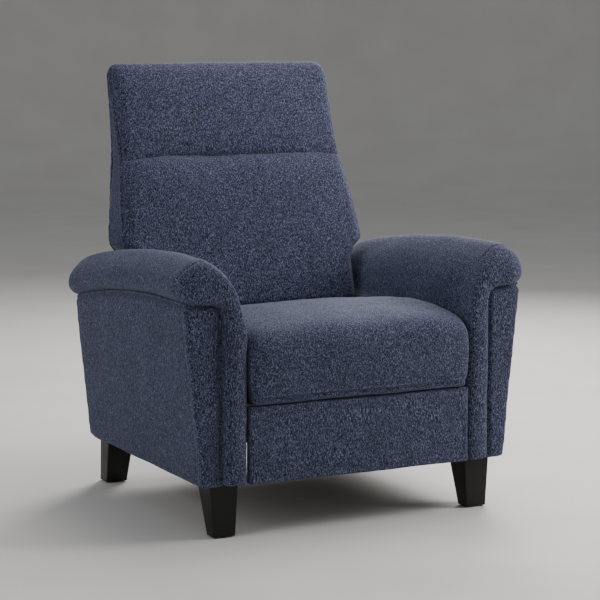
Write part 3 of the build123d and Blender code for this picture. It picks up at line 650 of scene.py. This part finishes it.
def lumbar_shape(mm, n):
    x, _, z = mm.T
    tucks = 0.9 * np.sin(x / 11 + 2.5 * np.sin(x / 70)) * ridge(z - 778, 22) * rising(-n[:, 1])
    return tucks + band_seam(mm, n)


def head_shape(mm, n):
    x, _, z = mm.T
    tucks = 0.8 * np.sin(x / 13 + 2 * np.sin(x / 60)) * ridge(z - 797, 16) * rising(-n[:, 1])
    return band_seam(mm, n) + tucks


lumbar_rings = [
    back_ring(z, along(z, lumbar_crown), retreat=10 if z == 430 else 0)
    for z in [430, 440, 452, 470, 500, 530, 550, 562, 572, 581, 590, 600, 620, 640, 670, 700, 725,
              745, 760, 772, 781, 787, 793]
]
lumbar = upholster("lumbar_cover", [loft(lumbar_rings)], rounds=12)
dip_ends(lumbar)
push(lumbar, lumbar_shape)
stuffed(lumbar, 51, lumps=2.0, creases=0.7)
dress(lumbar, "back", "lumbar_cushion", "lower_back_cushion", fill=0.75)

head_rings = []
for z in [781, 787, 793, 801, 815, 835, 860, 890, 920, 950, 970, 985, 996, 1005, 1011, back_top_z]:
    edge = rounding(max(0.0, z - 988), 28)
    head_rings.append(back_ring(z, along(z, head_crown), retreat=5 + 0.45 * edge, tuck=edge))
head = upholster("head_cover", [loft(head_rings)], rounds=12)
dip_ends(head)
push(head, head_shape)
stuffed(head, 61, lumps=1.7, creases=0.6)
dress(head, "back", "head_cushion", fill=0.75)

# the outside of the back: one panel, drawn tight, standing proud of the cushions' rear
shell_rings = []
for z in [262, 272, 300, 340, 400, 460, 520, 570, 580, 592, 610, 640, 690, 740, 800, 860, 920, 980,
          996, 1006, 1011]:
    half = along(z, back_width) - 1 - rounding(max(0.0, z - 984), 26)
    rear = back_rear_y(z)
    shell_rings.append([at(x, y, z) for x, y in [(-half, rear - 9), (half, rear - 9), (half, rear), (-half, rear)]])
shell = upholster("back_outside_cover", [loft(shell_rings)], voxel=0.004, rounds=3)
stuffed(shell, 71, lumps=0.7, creases=0.2)
dress(shell, "back", "back_rear_panel", fill=0.95)

rear_block = panel_x(666, arm_depth, 119.5, 296, 303)
lower_rear = upholster("lower_rear_cover", [rear_block], voxel=0.0035, rounds=3, fine=False)
stuffed(lower_rear, 81, lumps=0.5, creases=0.2)
dress(lower_rear, "base", "lower_rear_panel", fill=0.95)

# ---- seam along the seat's front -------------------------------------------------------------
hem_line = [at(x, -30, hem_z) for x in range(-262, 263, 12)]
hem = welt("seat_hem_seam", hem_line, seat, radius=1.6, lift=0.2)
# the cord wears the lighter copy of the cloth, a painted highlight on the seam
dress(hem, "seat", finish=seam_cloth_painted_highlight)

# ---- floor, light and camera, in metres ------------------------------------------------------
# a flat disc that curves up into a wall all round
sweep = [(4, 0), (8, 0), (8.8, 0.1), (9.5, 0.4), (10, 0.9), (10.3, 1.6), (10.5, 2.6), (10.6, 4.0)]
floor = mesh_object("floor", *turned(sweep, 96))
shade_smooth(floor.data)
pale = Finish("pale_floor", 0.7)
mottling = pale.noise((3, 3, 3), 3.0, 0.5)
pale.colour(pale.ramp(mottling, (0.3, (0.66, 0.64, 0.61)), (0.7, (0.71, 0.69, 0.66))))
floor.data.materials.append(pale.material)


def softbox(name, place, target, size, power, tint=(1, 1, 1)):
    light = bpy.data.lights.new(name, "AREA")
    light.shape, light.size, light.size_y = "RECTANGLE", *size
    light.energy, light.color = power, tint
    obj = bpy.data.objects.new(name, light)
    bpy.context.scene.collection.objects.link(obj)
    obj.location = place
    obj.rotation_euler = (Vector(target) - Vector(place)).to_track_quat("-Z", "Y").to_euler()


softbox("overhead", (0.7, 0.5, 3.0), (0, 0, 0.5), (2.2, 1.8), 58, (1.0, 0.98, 0.95))
softbox("window_left", (-3.2, -0.3, 1.7), (0, 0, 0.45), (1.6, 1.6), 30, (0.95, 0.98, 1.0))
softbox("window_right", (2.1, -1.1, 1.6), (0.1, 0.2, 0.8), (1.0, 1.2), 52, (1.0, 0.99, 0.97))
softbox("rear_right", (2.0, 2.2, 2.1), (0, 0, 0.7), (1.4, 1.4), 85, (1.0, 0.99, 0.97))
softbox("front_fill", (-0.6, -3.8, 1.5), (0, 0, 0.5), (2.4, 1.6), 6)

world = bpy.data.worlds.new("studio")
bpy.context.scene.world = world
world.use_nodes = True
background = world.node_tree.nodes["Background"]
background.inputs["Color"].default_value = (0.92, 0.95, 1.0, 1)
background.inputs["Strength"].default_value = 0.30

lens = bpy.data.cameras.new("camera")
lens.lens, lens.sensor_width = 122.75, 36
camera = bpy.data.objects.new("camera", lens)
bpy.context.scene.collection.objects.link(camera)
camera.location = (-2.1551, -4.2729, 1.0996)
camera.rotation_mode = "QUATERNION"
camera.rotation_quaternion = Vector((0.45275, 0.88179, -0.13215)).to_track_quat("-Z", "Y")
bpy.context.scene.camera = camera
